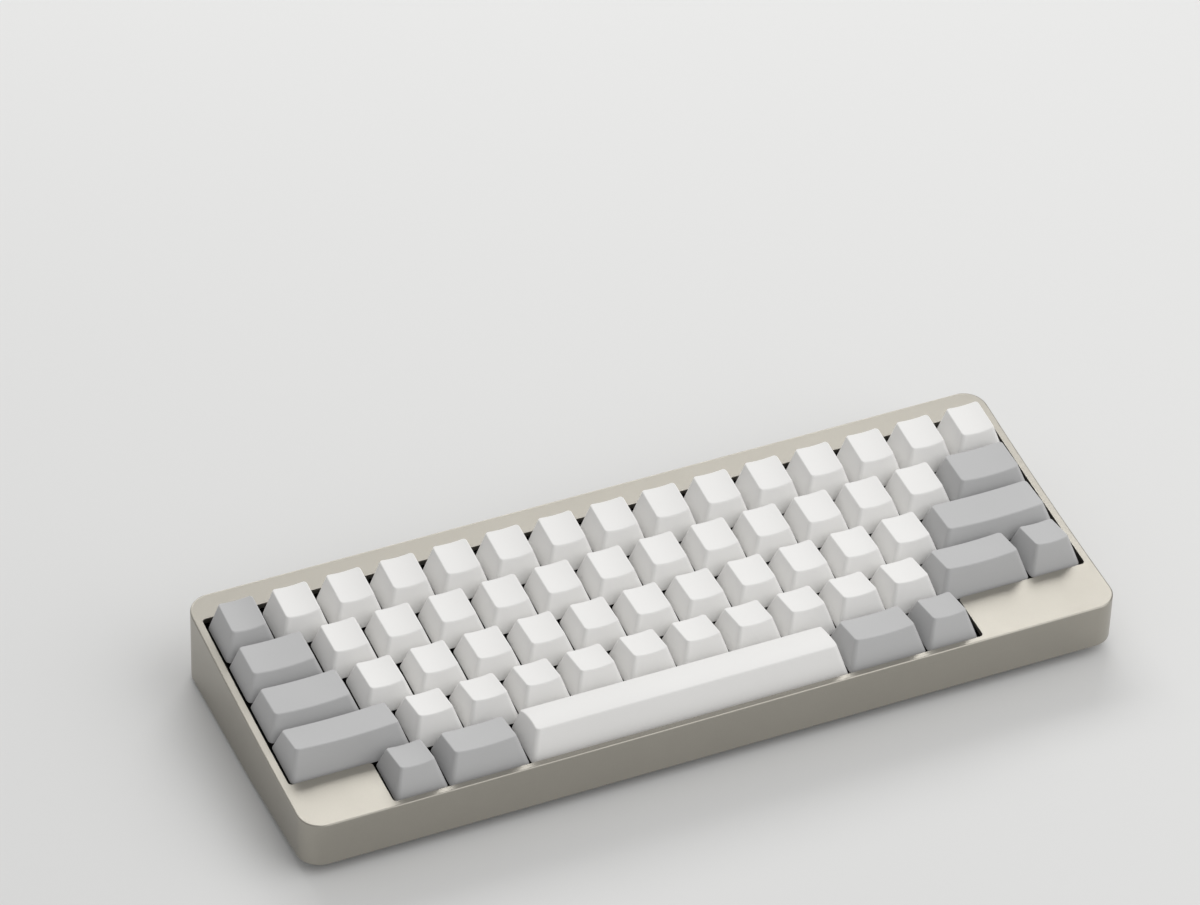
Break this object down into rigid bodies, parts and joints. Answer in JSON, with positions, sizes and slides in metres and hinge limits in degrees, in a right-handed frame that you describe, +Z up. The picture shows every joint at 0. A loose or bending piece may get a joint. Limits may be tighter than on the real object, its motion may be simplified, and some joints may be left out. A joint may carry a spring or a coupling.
{
  "type": "compact keyboard",
  "caption": "Compact wedge-shaped keyboard with sculpted, blank, separately sprung keycaps in a hollow-topped metal case.",
  "frame": {"origin": "centre of the footprint on the plane that the rubber feet stand on", "axes": "+X to the right along the key rows, +Y away from the typist, +Z up"},
  "size_m": [0.293, 0.1096, 0.0371],
  "materials": {
    "case_metal": "fine bead-blasted, anodised warm grey",
    "cover_metal": "plain anodised sheet, darker than the case",
    "frame_plastic": "black moulded plastic",
    "dome_rubber": "soft grey silicone rubber",
    "board": "green solder mask on glass fibre",
    "socket_steel": "plated sheet",
    "screw_steel": "dark zinc plated",
    "foot_rubber": "black rubber",
    "wire_steel": "bare spring wire",
    "white_cap": "white, fine matte grain",
    "grey_cap": "grey, fine matte grain"
  },
  "bodies": {
    "case": {"case_body": "case_metal", "bottom_cover": "cover_metal", "key_frame": "frame_plastic", "dome_sheet": "dome_rubber", "circuit_board": "board", "usb_socket": "socket_steel", "screws": "screw_steel", "rubber_feet": "foot_rubber"},
    "escape_key": {"escape_key": "grey_cap"},
    "number_keys_01": {"number_keys_01": "white_cap"},
    "number_keys_02": {"number_keys_02": "white_cap"},
    "number_keys_03": {"number_keys_03": "white_cap"},
    "number_keys_04": {"number_keys_04": "white_cap"},
    "number_keys_05": {"number_keys_05": "white_cap"},
    "number_keys_06": {"number_keys_06": "white_cap"},
    "number_keys_07": {"number_keys_07": "white_cap"},
    "tab_key": {"tab_key": "grey_cap"},
    "upper_row_keys_01": {"upper_row_keys_01": "white_cap"},
    "upper_row_keys_02": {"upper_row_keys_02": "white_cap"},
    "upper_row_keys_03": {"upper_row_keys_03": "white_cap"},
    "upper_row_keys_04": {"upper_row_keys_04": "white_cap"},
    "upper_row_key_05": {"upper_row_key_05": "white_cap"},
    "upper_row_key_06": {"upper_row_key_06": "white_cap"},
    "upper_row_key_07": {"upper_row_key_07": "white_cap"},
    "upper_row_key_08": {"upper_row_key_08": "white_cap"},
    "backspace_key": {"backspace_key": "grey_cap"},
    "control_key": {"control_key": "grey_cap"},
    "home_row_key_01": {"home_row_key_01": "white_cap"},
    "home_row_key_02": {"home_row_key_02": "white_cap"},
    "home_row_key_03": {"home_row_key_03": "white_cap"},
    "home_row_key_04": {"home_row_key_04": "white_cap"},
    "home_row_key_05": {"home_row_key_05": "white_cap"},
    "home_row_key_06": {"home_row_key_06": "white_cap"},
    "home_row_key_07": {"home_row_key_07": "white_cap"},
    "home_row_key_08": {"home_row_key_08": "white_cap"},
    "home_row_key_09": {"home_row_key_09": "white_cap"},
    "home_row_key_10": {"home_row_key_10": "white_cap"},
    "home_row_key_11": {"home_row_key_11": "white_cap"},
    "return_key": {"return_key": "grey_cap"},
    "left_shift_key": {"left_shift_key": "grey_cap"},
    "lower_row_key_01": {"lower_row_key_01": "white_cap"},
    "lower_row_key_02": {"lower_row_key_02": "white_cap"},
    "lower_row_key_03": {"lower_row_key_03": "white_cap"},
    "lower_row_key_04": {"lower_row_key_04": "white_cap"},
    "lower_row_key_05": {"lower_row_key_05": "white_cap"},
    "lower_row_key_06": {"lower_row_key_06": "white_cap"},
    "lower_row_key_07": {"lower_row_key_07": "white_cap"},
    "lower_row_key_08": {"lower_row_key_08": "white_cap"},
    "lower_row_key_09": {"lower_row_key_09": "white_cap"},
    "lower_row_key_10": {"lower_row_key_10": "white_cap"},
    "right_shift_key": {"right_shift_key": "grey_cap"},
    "function_key": {"function_key": "grey_cap"},
    "left_alt_key": {"left_alt_key": "grey_cap"},
    "left_command_key": {"left_command_key": "grey_cap"},
    "space_bar": {"space_bar": "white_cap"},
    "right_command_key": {"right_command_key": "grey_cap"},
    "right_alt_key": {"right_alt_key": "grey_cap"},
    "left_shift_wire": {"left_shift_wire": "wire_steel"},
    "return_key_wire": {"return_key_wire": "wire_steel"},
    "space_bar_wire": {"space_bar_wire": "wire_steel"}
  },
  "joints": [
    {"name": "escape_key_press", "type": "slide", "parent": "case", "child": "escape_key", "axis": [0, 0.0732, -0.9973], "range_m": [0, 0.004], "stiffness_N_per_m": 60, "springref_m": -0.005, "deforming": ["dome_sheet"]},
    {"name": "number_keys_01_press", "type": "slide", "parent": "case", "child": "number_keys_01", "axis": [0, 0.0732, -0.9973], "range_m": [0, 0.004], "stiffness_N_per_m": 60, "springref_m": -0.005},
    {"name": "number_keys_02_press", "type": "slide", "parent": "case", "child": "number_keys_02", "axis": [0, 0.0732, -0.9973], "range_m": [0, 0.004], "stiffness_N_per_m": 60, "springref_m": -0.005},
    {"name": "number_keys_03_press", "type": "slide", "parent": "case", "child": "number_keys_03", "axis": [0, 0.0732, -0.9973], "range_m": [0, 0.004], "stiffness_N_per_m": 60, "springref_m": -0.005},
    {"name": "number_keys_04_press", "type": "slide", "parent": "case", "child": "number_keys_04", "axis": [0, 0.0732, -0.9973], "range_m": [0, 0.004], "stiffness_N_per_m": 60, "springref_m": -0.005},
    {"name": "number_keys_05_press", "type": "slide", "parent": "case", "child": "number_keys_05", "axis": [0, 0.0732, -0.9973], "range_m": [0, 0.004], "stiffness_N_per_m": 60, "springref_m": -0.005},
    {"name": "number_keys_06_press", "type": "slide", "parent": "case", "child": "number_keys_06", "axis": [0, 0.0732, -0.9973], "range_m": [0, 0.004], "stiffness_N_per_m": 60, "springref_m": -0.005},
    {"name": "number_keys_07_press", "type": "slide", "parent": "case", "child": "number_keys_07", "axis": [0, 0.0732, -0.9973], "range_m": [0, 0.004], "stiffness_N_per_m": 60, "springref_m": -0.005},
    {"name": "tab_key_press", "type": "slide", "parent": "case", "child": "tab_key", "axis": [0, 0.0732, -0.9973], "range_m": [0, 0.004], "stiffness_N_per_m": 60, "springref_m": -0.005},
    {"name": "upper_row_keys_01_press", "type": "slide", "parent": "case", "child": "upper_row_keys_01", "axis": [0, 0.0732, -0.9973], "range_m": [0, 0.004], "stiffness_N_per_m": 60, "springref_m": -0.005},
    {"name": "upper_row_keys_02_press", "type": "slide", "parent": "case", "child": "upper_row_keys_02", "axis": [0, 0.0732, -0.9973], "range_m": [0, 0.004], "stiffness_N_per_m": 60, "springref_m": -0.005},
    {"name": "upper_row_keys_03_press", "type": "slide", "parent": "case", "child": "upper_row_keys_03", "axis": [0, 0.0732, -0.9973], "range_m": [0, 0.004], "stiffness_N_per_m": 60, "springref_m": -0.005},
    {"name": "upper_row_keys_04_press", "type": "slide", "parent": "case", "child": "upper_row_keys_04", "axis": [0, 0.0732, -0.9973], "range_m": [0, 0.004], "stiffness_N_per_m": 60, "springref_m": -0.005},
    {"name": "upper_row_key_05_press", "type": "slide", "parent": "case", "child": "upper_row_key_05", "axis": [0, 0.0732, -0.9973], "range_m": [0, 0.004], "stiffness_N_per_m": 60, "springref_m": -0.005},
    {"name": "upper_row_key_06_press", "type": "slide", "parent": "case", "child": "upper_row_key_06", "axis": [0, 0.0732, -0.9973], "range_m": [0, 0.004], "stiffness_N_per_m": 60, "springref_m": -0.005},
    {"name": "upper_row_key_07_press", "type": "slide", "parent": "case", "child": "upper_row_key_07", "axis": [0, 0.0732, -0.9973], "range_m": [0, 0.004], "stiffness_N_per_m": 60, "springref_m": -0.005},
    {"name": "upper_row_key_08_press", "type": "slide", "parent": "case", "child": "upper_row_key_08", "axis": [0, 0.0732, -0.9973], "range_m": [0, 0.004], "stiffness_N_per_m": 60, "springref_m": -0.005},
    {"name": "backspace_key_press", "type": "slide", "parent": "case", "child": "backspace_key", "axis": [0, 0.0732, -0.9973], "range_m": [0, 0.004], "stiffness_N_per_m": 60, "springref_m": -0.005},
    {"name": "control_key_press", "type": "slide", "parent": "case", "child": "control_key", "axis": [0, 0.0732, -0.9973], "range_m": [0, 0.004], "stiffness_N_per_m": 60, "springref_m": -0.005},
    {"name": "home_row_key_01_press", "type": "slide", "parent": "case", "child": "home_row_key_01", "axis": [0, 0.0732, -0.9973], "range_m": [0, 0.004], "stiffness_N_per_m": 60, "springref_m": -0.005},
    {"name": "home_row_key_02_press", "type": "slide", "parent": "case", "child": "home_row_key_02", "axis": [0, 0.0732, -0.9973], "range_m": [0, 0.004], "stiffness_N_per_m": 60, "springref_m": -0.005},
    {"name": "home_row_key_03_press", "type": "slide", "parent": "case", "child": "home_row_key_03", "axis": [0, 0.0732, -0.9973], "range_m": [0, 0.004], "stiffness_N_per_m": 60, "springref_m": -0.005},
    {"name": "home_row_key_04_press", "type": "slide", "parent": "case", "child": "home_row_key_04", "axis": [0, 0.0732, -0.9973], "range_m": [0, 0.004], "stiffness_N_per_m": 60, "springref_m": -0.005},
    {"name": "home_row_key_05_press", "type": "slide", "parent": "case", "child": "home_row_key_05", "axis": [0, 0.0732, -0.9973], "range_m": [0, 0.004], "stiffness_N_per_m": 60, "springref_m": -0.005},
    {"name": "home_row_key_06_press", "type": "slide", "parent": "case", "child": "home_row_key_06", "axis": [0, 0.0732, -0.9973], "range_m": [0, 0.004], "stiffness_N_per_m": 60, "springref_m": -0.005},
    {"name": "home_row_key_07_press", "type": "slide", "parent": "case", "child": "home_row_key_07", "axis": [0, 0.0732, -0.9973], "range_m": [0, 0.004], "stiffness_N_per_m": 60, "springref_m": -0.005},
    {"name": "home_row_key_08_press", "type": "slide", "parent": "case", "child": "home_row_key_08", "axis": [0, 0.0732, -0.9973], "range_m": [0, 0.004], "stiffness_N_per_m": 60, "springref_m": -0.005},
    {"name": "home_row_key_09_press", "type": "slide", "parent": "case", "child": "home_row_key_09", "axis": [0, 0.0732, -0.9973], "range_m": [0, 0.004], "stiffness_N_per_m": 60, "springref_m": -0.005},
    {"name": "home_row_key_10_press", "type": "slide", "parent": "case", "child": "home_row_key_10", "axis": [0, 0.0732, -0.9973], "range_m": [0, 0.004], "stiffness_N_per_m": 60, "springref_m": -0.005},
    {"name": "home_row_key_11_press", "type": "slide", "parent": "case", "child": "home_row_key_11", "axis": [0, 0.0732, -0.9973], "range_m": [0, 0.004], "stiffness_N_per_m": 60, "springref_m": -0.005},
    {"name": "return_key_press", "type": "slide", "parent": "case", "child": "return_key", "axis": [0, 0.0732, -0.9973], "range_m": [0, 0.004], "stiffness_N_per_m": 60, "springref_m": -0.005},
    {"name": "left_shift_key_press", "type": "slide", "parent": "case", "child": "left_shift_key", "axis": [0, 0.0732, -0.9973], "range_m": [0, 0.004], "stiffness_N_per_m": 60, "springref_m": -0.005},
    {"name": "lower_row_key_01_press", "type": "slide", "parent": "case", "child": "lower_row_key_01", "axis": [0, 0.0732, -0.9973], "range_m": [0, 0.004], "stiffness_N_per_m": 60, "springref_m": -0.005},
    {"name": "lower_row_key_02_press", "type": "slide", "parent": "case", "child": "lower_row_key_02", "axis": [0, 0.0732, -0.9973], "range_m": [0, 0.004], "stiffness_N_per_m": 60, "springref_m": -0.005},
    {"name": "lower_row_key_03_press", "type": "slide", "parent": "case", "child": "lower_row_key_03", "axis": [0, 0.0732, -0.9973], "range_m": [0, 0.004], "stiffness_N_per_m": 60, "springref_m": -0.005},
    {"name": "lower_row_key_04_press", "type": "slide", "parent": "case", "child": "lower_row_key_04", "axis": [0, 0.0732, -0.9973], "range_m": [0, 0.004], "stiffness_N_per_m": 60, "springref_m": -0.005},
    {"name": "lower_row_key_05_press", "type": "slide", "parent": "case", "child": "lower_row_key_05", "axis": [0, 0.0732, -0.9973], "range_m": [0, 0.004], "stiffness_N_per_m": 60, "springref_m": -0.005},
    {"name": "lower_row_key_06_press", "type": "slide", "parent": "case", "child": "lower_row_key_06", "axis": [0, 0.0732, -0.9973], "range_m": [0, 0.004], "stiffness_N_per_m": 60, "springref_m": -0.005},
    {"name": "lower_row_key_07_press", "type": "slide", "parent": "case", "child": "lower_row_key_07", "axis": [0, 0.0732, -0.9973], "range_m": [0, 0.004], "stiffness_N_per_m": 60, "springref_m": -0.005},
    {"name": "lower_row_key_08_press", "type": "slide", "parent": "case", "child": "lower_row_key_08", "axis": [0, 0.0732, -0.9973], "range_m": [0, 0.004], "stiffness_N_per_m": 60, "springref_m": -0.005},
    {"name": "lower_row_key_09_press", "type": "slide", "parent": "case", "child": "lower_row_key_09", "axis": [0, 0.0732, -0.9973], "range_m": [0, 0.004], "stiffness_N_per_m": 60, "springref_m": -0.005},
    {"name": "lower_row_key_10_press", "type": "slide", "parent": "case", "child": "lower_row_key_10", "axis": [0, 0.0732, -0.9973], "range_m": [0, 0.004], "stiffness_N_per_m": 60, "springref_m": -0.005},
    {"name": "right_shift_key_press", "type": "slide", "parent": "case", "child": "right_shift_key", "axis": [0, 0.0732, -0.9973], "range_m": [0, 0.004], "stiffness_N_per_m": 60, "springref_m": -0.005},
    {"name": "function_key_press", "type": "slide", "parent": "case", "child": "function_key", "axis": [0, 0.0732, -0.9973], "range_m": [0, 0.004], "stiffness_N_per_m": 60, "springref_m": -0.005},
    {"name": "left_alt_key_press", "type": "slide", "parent": "case", "child": "left_alt_key", "axis": [0, 0.0732, -0.9973], "range_m": [0, 0.004], "stiffness_N_per_m": 60, "springref_m": -0.005},
    {"name": "left_command_key_press", "type": "slide", "parent": "case", "child": "left_command_key", "axis": [0, 0.0732, -0.9973], "range_m": [0, 0.004], "stiffness_N_per_m": 60, "springref_m": -0.005},
    {"name": "space_bar_press", "type": "slide", "parent": "case", "child": "space_bar", "axis": [0, 0.0732, -0.9973], "range_m": [0, 0.004], "stiffness_N_per_m": 60, "springref_m": -0.005},
    {"name": "right_command_key_press", "type": "slide", "parent": "case", "child": "right_command_key", "axis": [0, 0.0732, -0.9973], "range_m": [0, 0.004], "stiffness_N_per_m": 60, "springref_m": -0.005},
    {"name": "right_alt_key_press", "type": "slide", "parent": "case", "child": "right_alt_key", "axis": [0, 0.0732, -0.9973], "range_m": [0, 0.004], "stiffness_N_per_m": 60, "springref_m": -0.005},
    {"name": "left_shift_wire_swing", "type": "hinge", "parent": "case", "child": "left_shift_wire", "pos_m": [-0.12144, -0.02906, 0.01827], "axis": [1, 0, 0], "range_deg": [-28.25, 0]},
    {"name": "return_key_wire_swing", "type": "hinge", "parent": "case", "child": "return_key_wire", "pos_m": [0.12144, -0.01006, 0.01967], "axis": [1, 0, 0], "range_deg": [-28.25, 0]},
    {"name": "space_bar_wire_swing", "type": "hinge", "parent": "case", "child": "space_bar_wire", "pos_m": [-0.00953, -0.04806, 0.01688], "axis": [1, 0, 0], "range_deg": [-28.25, 0]}
  ],
  "couplings": [
    {"joint": "left_shift_wire_swing", "follows": "left_shift_key_press", "rad_per_m": -123.23},
    {"joint": "return_key_wire_swing", "follows": "return_key_press", "rad_per_m": -123.23},
    {"joint": "space_bar_wire_swing", "follows": "space_bar_press", "rad_per_m": -123.23}
  ]
}
